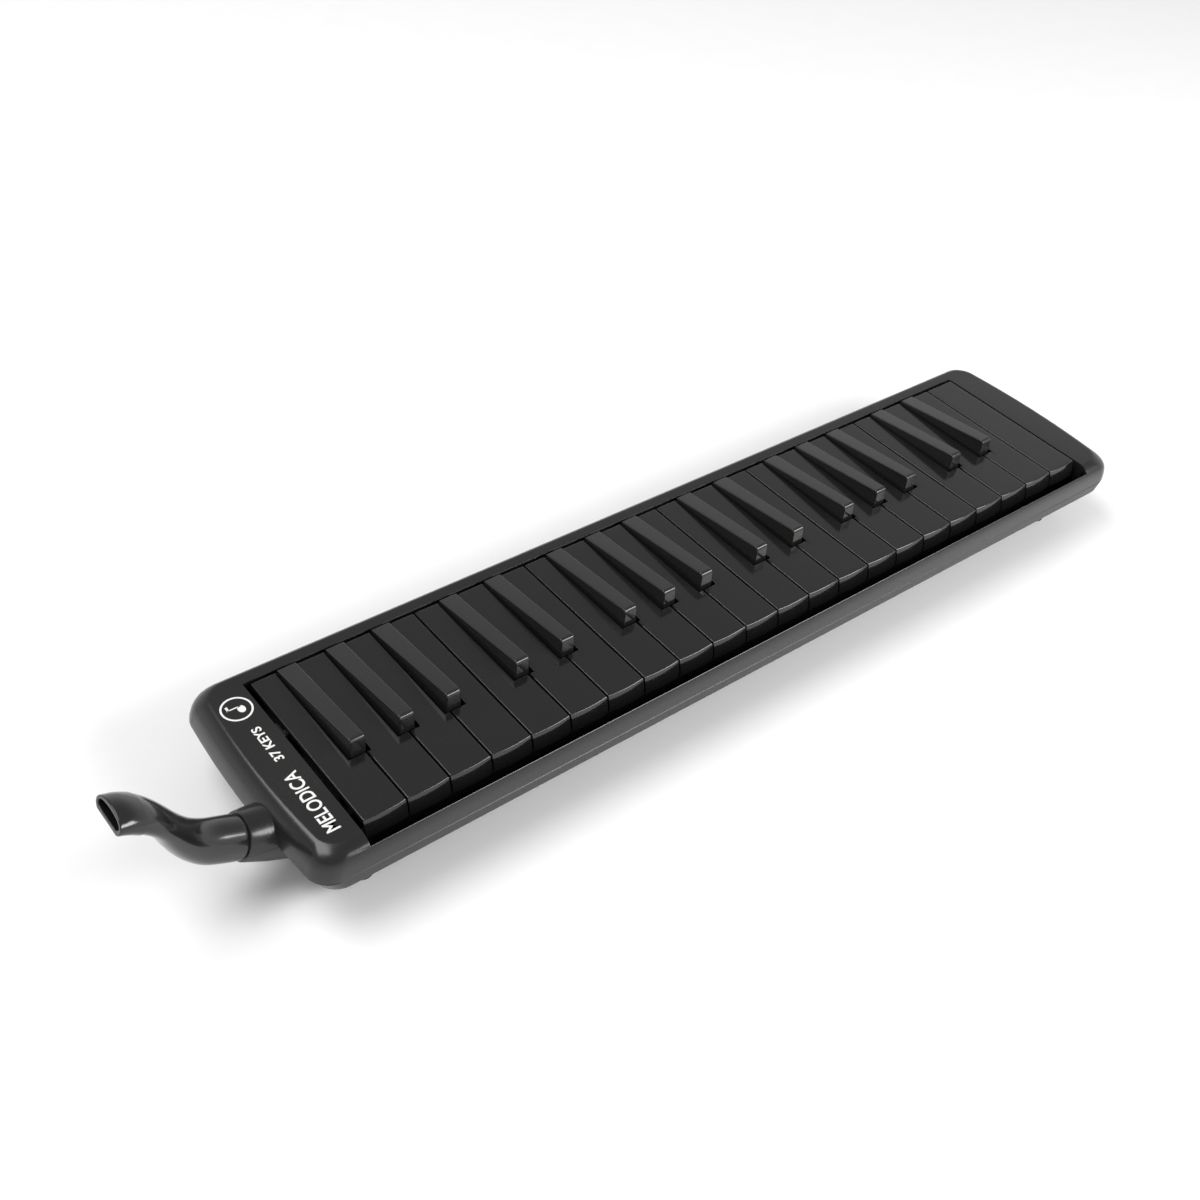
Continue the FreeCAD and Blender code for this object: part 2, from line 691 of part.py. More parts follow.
def rubberFeet():
    spots = [(x, y, floorZ) for x, y in footSpots()]
    return turned("rubber_feet", spots, ((5.0, -3.0, 0.0), (1.9, -0.5, wall + 0.8), (2.6, wall, wall + 1.2)))


def caseScrews():
    spots = [(x, y, floorZ + 8.0) for x, y in screwSpots()]
    return turned("case_screws", spots, ((2.8, -2.0, 0.0), (1.5, -0.5, splitZ - floorZ - 8),
                                         (0.95, -0.5, splitZ - floorZ - 1.5)))


def chamberScrews():
    spots = [(x, y, chamberRim - gasket - cover) for x, y in coverScrews()]
    return turned("chamber_screws", spots, ((1.9, -1.2, 0.0), (0.95, -0.5, 7.0)))


def faults(items):
    found = [i.Name for i in doc.Objects if "Invalid" in i.State or "Error" in i.State]
    found += [i.Label for i in items if i.Shape.isNull() or not i.Shape.isValid()]
    return found


def centreShift(items):
    """Move that puts the bottom centre of the whole instrument at the origin."""
    whole = FreeCAD.BoundBox()
    for item in items:
        whole.add(item.Shape.optimalBoundingBox(False, False))
    return V(-(whole.XMin + whole.XMax) / 2, -(whole.YMin + whole.YMax) / 2, -whole.ZMin)


def main():
    made = keys()
    centres = [centre for item, centre in made]
    items = [item for item, centre in made] + [upperCase(), lowerCase(), mouthpiece(), airChamber(centres),
             chamberCover(), chamberGasket(), keyAxle(), springComb(centres), stopFelt(), inletSocket(),
             washer("inlet_seal", 32.6, 35.2, 4.5, 6.2), washer("mouthpiece_seal", 9.7, 11.9, 5.75, 6.75)]
    items += reedPlates(centres) + drain() + [rubberFeet(), caseScrews(), chamberScrews()]
    doc.recompute()
    print("faults:", faults(items))
    move = centreShift(items)
    for item in items:
        item.Placement = FreeCAD.Placement(move, FreeCAD.Rotation()).multiply(item.Placement)
    doc.recompute()
    for item in items:
        item.Shape.exportStep("parts/%s.step" % item.Label)
        print(item.Label, item.Shape.isValid(), len(item.Shape.Solids), round(item.Shape.Volume))
    print("shift", move)


main()
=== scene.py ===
import bpy
import bmesh
import math
from mathutils import Matrix, Vector


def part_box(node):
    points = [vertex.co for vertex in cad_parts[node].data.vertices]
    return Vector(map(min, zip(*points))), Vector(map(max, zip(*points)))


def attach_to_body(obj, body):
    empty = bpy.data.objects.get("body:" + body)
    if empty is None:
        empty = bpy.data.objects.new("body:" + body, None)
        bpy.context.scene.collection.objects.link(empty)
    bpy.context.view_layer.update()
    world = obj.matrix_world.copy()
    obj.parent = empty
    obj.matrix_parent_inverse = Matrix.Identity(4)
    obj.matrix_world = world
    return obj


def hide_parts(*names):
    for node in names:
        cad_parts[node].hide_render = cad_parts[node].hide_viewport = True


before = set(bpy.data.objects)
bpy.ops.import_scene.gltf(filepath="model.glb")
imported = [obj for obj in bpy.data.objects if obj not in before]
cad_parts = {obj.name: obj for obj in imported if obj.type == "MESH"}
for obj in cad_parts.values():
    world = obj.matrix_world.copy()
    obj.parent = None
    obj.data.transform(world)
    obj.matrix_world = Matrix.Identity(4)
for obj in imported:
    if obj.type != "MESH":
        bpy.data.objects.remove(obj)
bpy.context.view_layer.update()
print("frame loaded", flush=True)

firstKey = [Vector(corner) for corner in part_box("white_key_01")]
drawOrigin = Vector((firstKey[0].x - 0.00045, firstKey[0].y + 0.0013, firstKey[1].z))


# A point given in millimetres from the bass front corner of the lowest key, on its top
def at(x, y, z):
    return drawOrigin + Vector((x, y, z)) * 0.001


# A node output that takes part in sums and products
class Wire:
    def __init__(self, tree, socket):
        self.tree, self.socket = tree, socket

    def math(self, kind, a, b):
        return addNode(self.tree, "ShaderNodeMath", {"operation": kind}, [a, b])

    def __add__(self, other):
        return self.math("ADD", self, other)

    def __mul__(self, other):
        return self.math("MULTIPLY", self, other)

    __radd__ = __add__
    __rmul__ = __mul__

    # 0 below the edge, 1 above it, with a soft step
    def above(self, edge, width):
        return addNode(self.tree, "ShaderNodeMapRange", {"interpolation_type": "SMOOTHSTEP"},
                       {"Value": self, "From Min": edge - width, "From Max": edge + width})


def addNode(tree, kind, settings, inputs, output=0):
    node = tree.nodes.new(kind)
    for name, value in settings.items():
        setattr(node, name, value)
    pairs = inputs.items() if isinstance(inputs, dict) else enumerate(inputs)
    for name, value in pairs:
        if isinstance(value, Wire):
            tree.links.new(value.socket, node.inputs[name])
        elif value is not None:
            node.inputs[name].default_value = value
    return Wire(tree, node.outputs[output])


def grain(tree, coords, scale, detail=3.0, stretch=(1, 1, 1), rough=0.5):
    spread = addNode(tree, "ShaderNodeVectorMath", {"operation": "MULTIPLY"}, [coords, stretch])
    return addNode(tree, "ShaderNodeTexNoise", {},
                   {"Vector": spread, "Scale": scale, "Detail": detail, "Roughness": rough})


def mix(tree, factor, a, b):
    node = tree.nodes.new("ShaderNodeMix")
    node.data_type = "RGBA"
    for socket, value in ((node.inputs[0], factor), (node.inputs[6], a), (node.inputs[7], b)):
        if isinstance(value, Wire):
            tree.links.new(value.socket, socket)
        else:
            socket.default_value = (*value, 1) if isinstance(value, tuple) else value
    return Wire(tree, node.outputs[2])


# A principled material whose colour, roughness and bump come from grain, smudges and dust
def newMaterial(name, finish):
    material = bpy.data.materials.new(name)
    material.use_nodes = True
    tree = material.node_tree
    shader = tree.nodes["Principled BSDF"]
    shader.inputs["Metallic"].default_value = finish.get("metal", 0.0)
    shader.inputs["Coat Weight"].default_value = finish.get("coat", 0.0)
    shader.inputs["Coat Roughness"].default_value = 0.06
    shader.inputs["IOR"].default_value = finish.get("ior", 1.5)
    coords = addNode(tree, "ShaderNodeTexCoord", {}, {}, 3)
    fine = grain(tree, coords, finish["grain"], 4.0, finish.get("stretch", (1, 1, 1)))
    cloud = grain(tree, coords, finish.get("cloud", 14.0), 3.0)
    hair = grain(tree, coords, 260.0, 2.0, finish.get("hairs", (1, 14, 1)))
    specks = grain(tree, coords, 2600.0, 1.0).above(0.74, 0.03) * cloud.above(0.5, 0.2)
    scratch = hair.above(0.63, 0.02) * grain(tree, coords, 30.0, 2.0).above(0.55, 0.08)
    colour = mix(tree, cloud * 0.6 + fine * 0.4, finish["dark"], finish["light"])
    colour = mix(tree, specks * finish.get("dust", 0.12), colour, (0.25, 0.24, 0.22))
    tree.links.new(colour.socket, shader.inputs["Base Color"])
    low, high = finish["rough"]
    rough = cloud * (high - low) + low + scratch * finish.get("scratch", 0.1) + specks * 0.12
    tree.links.new(rough.socket, shader.inputs["Roughness"])
    height = fine * finish.get("depth", 0.3) + scratch * -0.25 + specks * 0.15
    bump = addNode(tree, "ShaderNodeBump", {},
                   {"Strength": finish.get("bump", 0.12), "Distance": 0.0002, "Height": height})
    tree.links.new(bump.socket, shader.inputs["Normal"])
    return material


finishes = {
    "white key plastic": {"dark": (0.006, 0.006, 0.006), "light": (0.012, 0.012, 0.0115),
                          "rough": (0.09, 0.17), "grain": 900.0, "bump": 0.05, "coat": 0.25},
    "black key plastic": {"dark": (0.010, 0.010, 0.010), "light": (0.018, 0.018, 0.017),
                          "rough": (0.14, 0.24), "grain": 1200.0, "bump": 0.04, "coat": 0.15,
                          "scratch": 0.04},
    "case plastic": {"dark": (0.009, 0.009, 0.009), "light": (0.017, 0.0165, 0.016),
                     "rough": (0.16, 0.26), "grain": 1100.0, "bump": 0.08, "hairs": (14, 1, 1)},
    "lower case plastic": {"dark": (0.014, 0.014, 0.0135), "light": (0.024, 0.023, 0.022),
                           "rough": (0.24, 0.36), "grain": 1100.0, "bump": 0.1, "hairs": (14, 1, 1)},
    "mouthpiece plastic": {"dark": (0.008, 0.008, 0.008), "light": (0.015, 0.015, 0.0145),
                           "rough": (0.13, 0.22), "grain": 1000.0, "bump": 0.06, "coat": 0.2},
    "inner plastic": {"dark": (0.012, 0.012, 0.013), "light": (0.026, 0.026, 0.028),
                      "rough": (0.42, 0.6), "grain": 800.0, "bump": 0.2},
    "rubber": {"dark": (0.012, 0.012, 0.012), "light": (0.03, 0.029, 0.028), "rough": (0.55, 0.8),
               "grain": 1500.0, "bump": 0.3, "depth": 0.8},
    "brass": {"dark": (0.55, 0.40, 0.16), "light": (0.78, 0.60, 0.28), "rough": (0.22, 0.42),
              "metal": 1.0, "grain": 500.0, "stretch": (1, 12, 1)},
    "bronze": {"dark": (0.48, 0.29, 0.14), "light": (0.70, 0.47, 0.25), "rough": (0.2, 0.35),
               "metal": 1.0, "grain": 700.0, "stretch": (12, 1, 1)},
    "steel": {"dark": (0.36, 0.36, 0.37), "light": (0.56, 0.56, 0.57), "rough": (0.2, 0.38),
              "metal": 1.0, "grain": 600.0, "stretch": (1, 14, 14)},
    "sheet": {"dark": (0.52, 0.53, 0.54), "light": (0.72, 0.73, 0.74), "rough": (0.28, 0.45),
              "metal": 1.0, "grain": 400.0, "stretch": (1, 18, 1)},
    "felt": {"dark": (0.010, 0.010, 0.011), "light": (0.022, 0.022, 0.023), "rough": (0.85, 1.0),
             "grain": 2200.0, "bump": 0.9, "depth": 1.0},
    "print": {"dark": (0.74, 0.74, 0.73), "light": (0.84, 0.84, 0.83), "rough": (0.3, 0.45),
              "grain": 1500.0, "dust": 0.5},
}
materials = {name: newMaterial(name, finish) for name, finish in finishes.items()}
print("materials made", flush=True)

nodeFinish = {
    "air_chamber": "inner plastic", "chamber_cover": "sheet", "chamber_gasket": "rubber",
    "reed_plate_bass": "brass", "reed_plate_treble": "brass", "reed_tongues": "bronze",
    "reed_rivets": "brass", "key_axle": "steel", "key_spring_comb": "steel", "key_stop_felt": "felt",
    "inlet_socket": "inner plastic", "inlet_seal": "rubber", "mouthpiece_seal": "rubber",
    "drain_button": "lower case plastic", "drain_seal": "rubber", "drain_spring": "steel",
    "rubber_feet": "rubber", "case_screws": "steel", "chamber_screws": "steel",
    "upper_case": "case plastic", "lower_case": "lower case plastic",
    "mouthpiece": "mouthpiece plastic",
}
for name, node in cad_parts.items():
    kind = nodeFinish.get(name, "white key plastic" if name.startswith("white") else "black key plastic")
    for holder in node.material_slots:
        holder.material = materials[kind]


# Selects what passes the test, given its centre in drawing millimetres and its normal
def pick(test, mode="VERT"):
    bpy.ops.mesh.select_mode(type=mode)
    bpy.ops.mesh.select_all(action="DESELECT")
    mesh = bmesh.from_edit_mesh(bpy.context.object.data)
    found = 0
    for item in {"FACE": mesh.faces, "EDGE": mesh.edges, "VERT": mesh.verts}[mode]:
        if mode == "FACE":
            centre, normal = item.calc_center_median(), item.normal
        elif mode == "EDGE":
            centre = (item.verts[0].co + item.verts[1].co) / 2
            normal = (item.verts[1].co - item.verts[0].co).normalized()
        else:
            centre, normal = item.co, item.normal
        if test((centre - drawOrigin) * 1000, normal):
            item.select = True
            found += 1
    mesh.select_flush_mode()
    bmesh.update_edit_mesh(bpy.context.object.data)
    return found


# Selects the open edges that pass the test
def pickOpen(test):
    bpy.ops.mesh.select_mode(type="EDGE")
    bpy.ops.mesh.select_all(action="DESELECT")
    mesh = bmesh.from_edit_mesh(bpy.context.object.data)
    for edge in mesh.edges:
        middle = (edge.verts[0].co + edge.verts[1].co) / 2
        edge.select = len(edge.link_faces) == 1 and test((middle - drawOrigin) * 1000)
    bmesh.update_edit_mesh(bpy.context.object.data)


# Adds a primitive and leaves it in edit mode with everything selected
def begin(kind, name, **options):
    bpy.ops.object.select_all(action="DESELECT")
    getattr(bpy.ops.mesh, "primitive_%s_add" % kind)(**options)
    made = bpy.context.object
    made.name = made.data.name = name
    bpy.ops.object.mode_set(mode="EDIT")
    bpy.ops.mesh.select_all(action="SELECT")
    return made


def shift(x, y, z):
    bpy.ops.transform.translate(value=Vector((x, y, z)) * 0.001)


def grow(x, y, z, centre=(0, 0, 0)):
    bpy.ops.transform.resize(value=(x, y, z), center_override=centre)


# Right-handed turn; the operator itself turns the other way when there is no window
def lean(degrees, centre=(0, 0, 0), axis="Y"):
    bpy.ops.transform.rotate(value=-math.radians(degrees), orient_axis=axis, center_override=centre)


def cutAlong(point, normal, **options):
    bpy.ops.mesh.select_all(action="SELECT")
    bpy.ops.mesh.bisect(plane_co=point, plane_no=normal, **options)


def extrudeBy(x, y, z):
    bpy.ops.mesh.extrude_region_move(
        TRANSFORM_OT_translate={"value": Vector((x, y, z)) * 0.001})


# A box between pairs of millimetres, inside the mesh being edited
def addBox(x, y, z):
    bpy.ops.mesh.select_all(action="DESELECT")
    bpy.ops.mesh.primitive_cube_add(size=1)
    grow((x[1] - x[0]) * 0.001, (y[1] - y[0]) * 0.001, (z[1] - z[0]) * 0.001)
    bpy.ops.transform.translate(value=at(sum(x) / 2, sum(y) / 2, sum(z) / 2))


def useModifier(piece, kind, **settings):
    modifier = piece.modifiers.new(kind.lower(), kind)
    for name, value in settings.items():
        setattr(modifier, name, value)
    bpy.ops.object.modifier_apply(modifier=modifier.name)


# Takes the cutter's shape away from the piece
def carve(piece, cutter):
    bpy.ops.object.mode_set(mode="OBJECT")
    bpy.ops.object.select_all(action="DESELECT")
    bpy.context.view_layer.objects.active = piece
    useModifier(piece, "BOOLEAN", operation="DIFFERENCE", solver="EXACT", object=cutter)
    bpy.data.objects.remove(cutter)


def setNormals():
    bpy.ops.mesh.select_all(action="SELECT")
    bpy.ops.mesh.remove_doubles(threshold=0.000002)
    bpy.ops.mesh.normals_make_consistent(inside=False)


# Outward normals, softened edges, smooth shading and a material
def finishPiece(piece, materialName, angle=35, edge=0.0):
    bpy.context.view_layer.objects.active = piece
    bpy.ops.object.mode_set(mode="OBJECT")
    bpy.ops.object.select_all(action="DESELECT")
    piece.select_set(True)
    bpy.ops.object.transform_apply(location=True, rotation=True, scale=True)
    bpy.ops.object.mode_set(mode="EDIT")
    setNormals()
    bpy.ops.object.mode_set(mode="OBJECT")
    if edge:
        useModifier(piece, "BEVEL", width=edge * 0.001, segments=2, angle_limit=math.radians(50))
    bpy.ops.object.shade_smooth_by_angle(angle=math.radians(angle))
    useModifier(piece, "WEIGHTED_NORMAL", keep_sharp=True)
    piece.data.materials.append(materials[materialName])
    return piece


# A copy with its own mesh, moved along the keyboard
def copyOf(piece, name, x):
    made = piece.copy()
    made.data = piece.data.copy()
    made.name = made.data.name = name
    made.data.transform(Matrix.Translation((x * 0.001, 0, 0)))
    bpy.context.scene.collection.objects.link(made)
    return made


def attach(piece, body, slotName, *nodes):
    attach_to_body(piece, body)
    if nodes:
        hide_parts(*nodes)


keySizes = {
    "pitch": 19.5, "gap": 0.9, "length": 84.5, "notch": 28.15, "plate": 2.4, "web": 5.0,
    "blackWide": 9.0, "blackNarrow": 7.5, "blackFront": 29.1, "clear": 0.55, "rise": 8.2, "rear": 1.45,
    "lip": ((-0.25, 0.15), (-1.2, 0.55), (-2.6, 1.05), (-4.0, 1.5), (-5.2, 1.8), (-6.2, 1.92), (-8.4, 1.95)),
    "bow": 0.6, "skirt": 8.4, "lipWall": 1.8, "softEdge": 0.4, "whiteAction": 22.0,
    "blackFoot": -3.3, "blackRound": 1.8, "blackSoft": 0.5, "blackAction": 35.0,
    # the web under a key, its leg above the valve and the pad on the leg: (from, to, low, high)
    "rib": (83.5, -13.2, -2.3), "leg": (72.0, 80.0, -15.8, -13.1), "pad": (70.5, 81.5, -17.75, -15.78),
}
blackShift = {0: -0.15, 1: 0.0, 2: 0.13, 4: -0.12, 5: 0.09}
blackSteps = [s for s in range(1, 22) if (s - 1) % 7 in blackShift]


def blackCentre(step):
    return keySizes["pitch"] * (step + blackShift[(step - 1) % 7])


# Left edge, right edge and the two notch edges of a white key, in millimetres
def whiteSpan(number):
    k = keySizes
    left, right = k["pitch"] * (number - 1) + k["gap"] / 2, k["pitch"] * number - k["gap"] / 2
    half = k["blackWide"] / 2 + k["clear"]
    low = blackCentre(number - 1) + half if number - 1 in blackSteps else None
    high = blackCentre(number) - half if number in blackSteps else None
    return left, right, low, high


# Web, tail leg and rubber valve pad under a key
def addAction(centre, start):
    k = keySizes
    end, low, high = k["rib"]
    spans = ((0.0, start, end, low, high), (-0.02, *k["leg"]), (0.5, *k["pad"]))
    for wider, front, rear, low, high in spans:
        half = k["web"] / 2 + wider
        addBox((centre - half, centre + half), (front, rear), (low, high))


# Gives the rubber pad its own material
def padFaces(piece):
    piece.data.materials.append(materials["rubber"])
    for face in piece.data.polygons:
        if (face.center - drawOrigin).z * 1000 < keySizes["pad"][3] + 0.08:
            face.material_index = 1


def makeWhiteKey(number, name):
    k = keySizes
    left, right, low, high = whiteSpan(number)
    middle, half = (left + right) / 2, (right - left) / 2
    piece = begin("plane", name, size=1)
    grow(half * 0.002, k["length"] * 0.001, 1)
    bpy.ops.transform.translate(value=at(middle, k["length"] / 2, 0))
    for edge in (low, high):
        if edge:
            cutAlong(at(edge, 0, 0), (1, 0, 0))
    for y in (2.4, 24.0, k["notch"]):
        cutAlong(at(0, y, 0), (0, 1, 0))
    if pick(lambda c, n: c.y > k["notch"] and ((low and c.x < low) or (high and c.x > high)), "FACE"):
        bpy.ops.mesh.delete(type="FACE")
    steps = 8
    for i in range(1, steps):
        cutAlong(at(left + 2 * half * i / steps, 0, 0), (1, 0, 0))
    for x in sorted({round(((v.co - drawOrigin).x) * 1000, 3)
                     for v in bmesh.from_edit_mesh(piece.data).verts}):
        if pick(lambda c, n: abs(c.x - x) < 0.01 and c.y < 1):
            shift(0, -k["bow"] * (1 - ((x - middle) / half) ** 2), 0)
    bpy.ops.mesh.select_all(action="SELECT")
    extrudeBy(0, 0, -k["plate"])
    setNormals()
    # The front face falls away in a soft lip, wider at its foot than at its top edge
    pick(lambda c, n: n.y < -0.7 and c.y < 1.5, "FACE")
    bpy.ops.mesh.delete(type="FACE")
    pick(lambda c, n: c.y < 1.5 and abs(c.z) < 0.05 and abs(n.y) < 0.9, "EDGE")
    reach, level = 0.0, 0.0
    for z, out in k["lip"]:
        extrudeBy(0, -(out - reach), z - level)
        reach, level = out, z
    extrudeBy(0, k["lipWall"], 0)
    extrudeBy(0, 0, k["skirt"] - k["plate"])
    for test in (lambda c: abs(c.x - left) < 0.02, lambda c: abs(c.x - right) < 0.02, lambda c: True):
        pickOpen(test)
        bpy.ops.mesh.edge_face_add()
    setNormals()
    pick(lambda c, n: n.z > 0.95 and abs(c.z) < 0.05, "FACE")
    bpy.ops.mesh.region_to_loop()
    bpy.ops.mesh.bevel(offset=k["softEdge"] * 0.001, segments=3, affect="EDGES")
    addAction(((low or left) + (high or right)) / 2, k["whiteAction"])
    finishPiece(piece, "white key plastic")
    padFaces(piece)
    return piece


def makeBlackKey(step, name):
    k = keySizes
    middle = blackCentre(step)
    piece = begin("cube", name, size=1)
    grow(0.001, 0.001, 0.001)
    bpy.ops.transform.translate(value=at(middle, 0, 0))
    corners = ((-1, -1, k["blackNarrow"], k["blackFront"], k["blackFoot"]),
               (-1, 1, k["blackNarrow"] - 1.0, k["blackFront"] + 0.6, k["rise"]),
               (1, -1, k["blackWide"], k["length"] - 0.1, k["blackFoot"]),
               (1, 1, k["blackWide"] - 0.4, k["length"] - 0.2, k["rear"]))
    for end, top, width, y, z in corners:
        for side in (-1, 1):
            pick(lambda c, n: abs(c.x - middle - side * 0.5) < 0.1 and abs(c.y - end * 0.5) < 0.1
                 and abs(c.z - top * 0.5) < 0.1)
            shift(side * (width / 2 - 0.5), y - end * 0.5, z - top * 0.5)
    pick(lambda c, n: c.z > 5 and c.y < 33 and abs(n.x) > 0.9, "EDGE")
    bpy.ops.mesh.bevel(offset=k["blackRound"] * 0.001, segments=6, affect="EDGES")
    setNormals()
    pick(lambda c, n: n.z > 0.2 or (n.y < -0.8 and c.y < 33), "FACE")
    bpy.ops.mesh.region_to_loop()
    bpy.ops.mesh.bevel(offset=k["blackSoft"] * 0.001, segments=3, affect="EDGES")
    addAction(middle, k["blackAction"])
    finishPiece(piece, "black key plastic")
    padFaces(piece)
    return piece


def makeKeys():
    masters = {}
    for number in range(1, 23):
        name = "white_key_%02d" % number
        kind = (number - 1) % 7 if number < 22 else "last"
        if number == 1:
            kind = "first"
        if kind in masters:
            source, first = masters[kind]
            piece = copyOf(source, name + "_top", keySizes["pitch"] * (number - first))
        else:
            piece = makeWhiteKey(number, name + "_top")
            masters[kind] = (piece, number)
        attach(piece, name + "_lever", "white_key_plastic", name)
    master = makeBlackKey(blackSteps[0], "black_key_01_top")
    for index, step in enumerate(blackSteps):
        name = "black_key_%02d" % (index + 1)
        piece = master
        if index:
            piece = copyOf(master, name + "_top", blackCentre(step) - blackCentre(blackSteps[0]))
        attach(piece, name + "_lever", "black_key_plastic", name)
    print("keys made", flush=True)


caseSizes = {
    "length": 429.0, "block": 24.0, "bow": 3.15, "front": -10.95, "rear": 97.45, "corner": 9.0,
    "split": -13.6, "top": -1.05, "band": -18.0, "floor": -37.95, "wall": 2.2,
    "slotX": (-1.95, 430.95), "slotY": (-9.2, 87.2),
    # height as a part of the rise, then how far front, rear and ends have drawn in
    "upper": ((0.0, 0.25, 0.25, 0.25), (0.02, 0.02, 0.02, 0.02), (0.22, 0.02, 0.15, 0.3),
              (0.45, 0.15, 0.6, 1.0), (0.58, 0.4, 1.0, 1.6), (0.68, 0.75, 1.4, 2.4), (0.76, 1.4, 1.9, 3.2),
              (0.83, 2.35, 2.5, 4.1), (0.89, 3.4, 3.1, 5.0), (0.94, 4.5, 3.8, 5.95), (0.98, 5.7, 4.6, 6.95),
              (1.0, 6.9, 5.4, 8.0)),
    "hollow": ((-0.05, 0, 0, 0), (0.6, 0.7, 1.6, 2.3), (0.82, 3.6, 3.3, 5.2)),
    "waist": 3.4, "foot": (14.0, 11.0, 13.0), "screwX": (-6.0, 435.0), "screwY": (8.0, 80.0),
    "groove": 0.35, "mouthTilt": 20, "bossBore": 7.6, "well": 3.1, "way": 1.6, "post": 3.5,
    "drain": (407.0, 27.2, 4.9), "standX": (53.6, 160.9, 268.1, 375.4), "standTop": -33.1,
    "lower": ((0.0, 0.0), (0.05, 0.02), (0.12, 0.1), (0.85, 0.83), (0.94, 0.94), (0.985, 1.02), (1.0, 1.1)),
}
mouthSpot = at(-37.2, 27.3, -11.5)  # where the mouthpiece meets the boss


# A block with rounded corners and bowed ends, drawn in section by section
def outlineBlock(name, sections, shrink=0.0):
    c = caseSizes
    x = c["length"] / 2
    z, front, rear, end = sections[0]
    low, high = c["front"] + front + shrink, c["rear"] - rear - shrink
    middle, half = (low + high) / 2, (high - low) / 2
    reach = x + c["block"] - end - shrink
    piece = begin("plane", name, size=1)
    grow(reach * 0.002, half * 0.002, 1)
    bpy.ops.transform.translate(value=at(x, middle, z))
    bpy.ops.mesh.bevel(offset=(c["corner"] - shrink) * 0.001, segments=7, affect="VERTICES")
    for i in range(1, 10):
        cutAlong(at(0, low + 9 + (2 * half - 18) * (i - 1) / 8.0, 0), (0, 1, 0))
    points = bmesh.from_edit_mesh(piece.data).verts
    levels = sorted({round((point.co - drawOrigin).y * 1000, 2) for point in points})
    for y in levels:
        for side in (-1, 1):
            pick(lambda p, n: abs(p.y - y) < 0.02 and side * (p.x - x) > reach - 10)
            shift(side * c["bow"] * (1 - ((y - middle) / half) ** 2), 0, 0)
    bpy.ops.mesh.select_all(action="SELECT")
    reach += c["bow"]
    for z2, front, rear, end in sections[1:]:
        low, high = c["front"] + front + shrink, c["rear"] - rear - shrink
        reach2 = x + c["block"] + c["bow"] - end - shrink
        extrudeBy(0, (low + high) / 2 - middle, z2 - z)
        middle, z = (low + high) / 2, z2
        grow(reach2 / reach, (high - low) / 2 / half, 1, at(x, middle, z))
        half, reach = (high - low) / 2, reach2
    setNormals()
    bpy.ops.object.mode_set(mode="OBJECT")
    return piece


# A closed ring of wall round the mouthpiece axis, from (distance, radius) stations
def tiltedTube(name, stations, count=48):
    piece = begin("circle", name, vertices=count, radius=stations[0][1] * 0.001)
    lean(90)
    shift(stations[0][0], 0, 0)
    for (s, r), (s2, r2) in zip(stations, stations[1:] + stations[:1]):
        extrudeBy(s2 - s, 0, 0)
        grow(1, r2 / r, r2 / r)
    bpy.ops.mesh.select_all(action="SELECT")
    lean(caseSizes["mouthTilt"])
    bpy.ops.transform.translate(value=mouthSpot)
    setNormals()
    return piece


# Half of the boss that the mouthpiece plugs into
def makeBoss(name, keepUpper):
    bore = caseSizes["bossBore"]
    piece = tiltedTube(name, [(0, 9.3), (0.15, 9.6), (0.6, 9.8), (3, 10.2), (11, 11.5), (20, 12.3),
                              (20, bore), (0.2, bore), (0, bore + 0.2)])
    cutAlong(at(0, 0, caseSizes["split"]), (0, 0, 1 if keepUpper else -1), use_fill=True, clear_inner=True)
    bpy.ops.object.mode_set(mode="OBJECT")
    return piece


# A little wider than the boss, whose own wall shows inside the hole
def boreCutter():
    radius = (caseSizes["bossBore"] + 0.4) * 0.001
    piece = begin("cylinder", "bore_cutter", vertices=48, radius=radius, depth=0.03)
    lean(90)
    shift(16, 0, 0)
    lean(caseSizes["mouthTilt"])
    bpy.ops.transform.translate(value=mouthSpot)
    bpy.ops.object.mode_set(mode="OBJECT")
    return piece


def joinPieces(piece, others):
    bpy.ops.object.select_all(action="DESELECT")
    for item in others + [piece]:
        item.select_set(True)
    bpy.context.view_layer.objects.active = piece
    bpy.ops.object.join()
    return piece


def boxCutter(name, *spans):
    piece = begin("cube", name, size=1)
    bpy.ops.mesh.delete(type="VERT")
    for x, y, z in spans:
        addBox(x, y, z)
    bpy.ops.object.mode_set(mode="OBJECT")
    return piece


# Upright cylinders at (x, y, radius, low, high)
def roundCutter(name, spots):
    piece = begin("cube", name, size=1)
    bpy.ops.mesh.delete(type="VERT")
    for x, y, radius, low, high in spots:
        bpy.ops.mesh.select_all(action="DESELECT")
        bpy.ops.mesh.primitive_cylinder_add(vertices=32, radius=radius * 0.001, depth=(high - low) * 0.001)
        bpy.ops.transform.translate(value=at(x, y, (low + high) / 2))
    bpy.ops.object.mode_set(mode="OBJECT")
    return piece


def makeUpperCase():
    c = caseSizes
    rise = c["top"] - c["split"]
    outer, inner = ([(c["split"] + rise * t, *draw) for t, *draw in c[name]] for name in ("upper", "hollow"))
    piece = outlineBlock("upper_case_shell", outer)
    carve(piece, outlineBlock("cavity", inner, c["wall"]))
    carve(piece, boxCutter("slot", (c["slotX"], c["slotY"], (-15, 5))))
    carve(piece, boreCutter())
    (x0, x1), (y0, y1), w = c["slotX"], c["slotY"], c["wall"]
    cheeks = boxCutter("cheeks", ((x0 - w, x0 - 0.01), (y0 + 3, y1 + w), (-12, c["top"] - 1)),
                       ((x1 + 0.01, x1 + w), (y0 + 3, y1 + w), (-12, c["top"] - 1)),
                       ((x0, x1), (y1 + 0.01, y1 + w), (-12, c["top"] - 1)))
    joinPieces(piece, [cheeks, makeBoss("upper_boss", True)])
    finishPiece(piece, "case plastic", 38, 0.3)
    attach(piece, "case", "case_plastic", "upper_case")
    print("upper case made", flush=True)


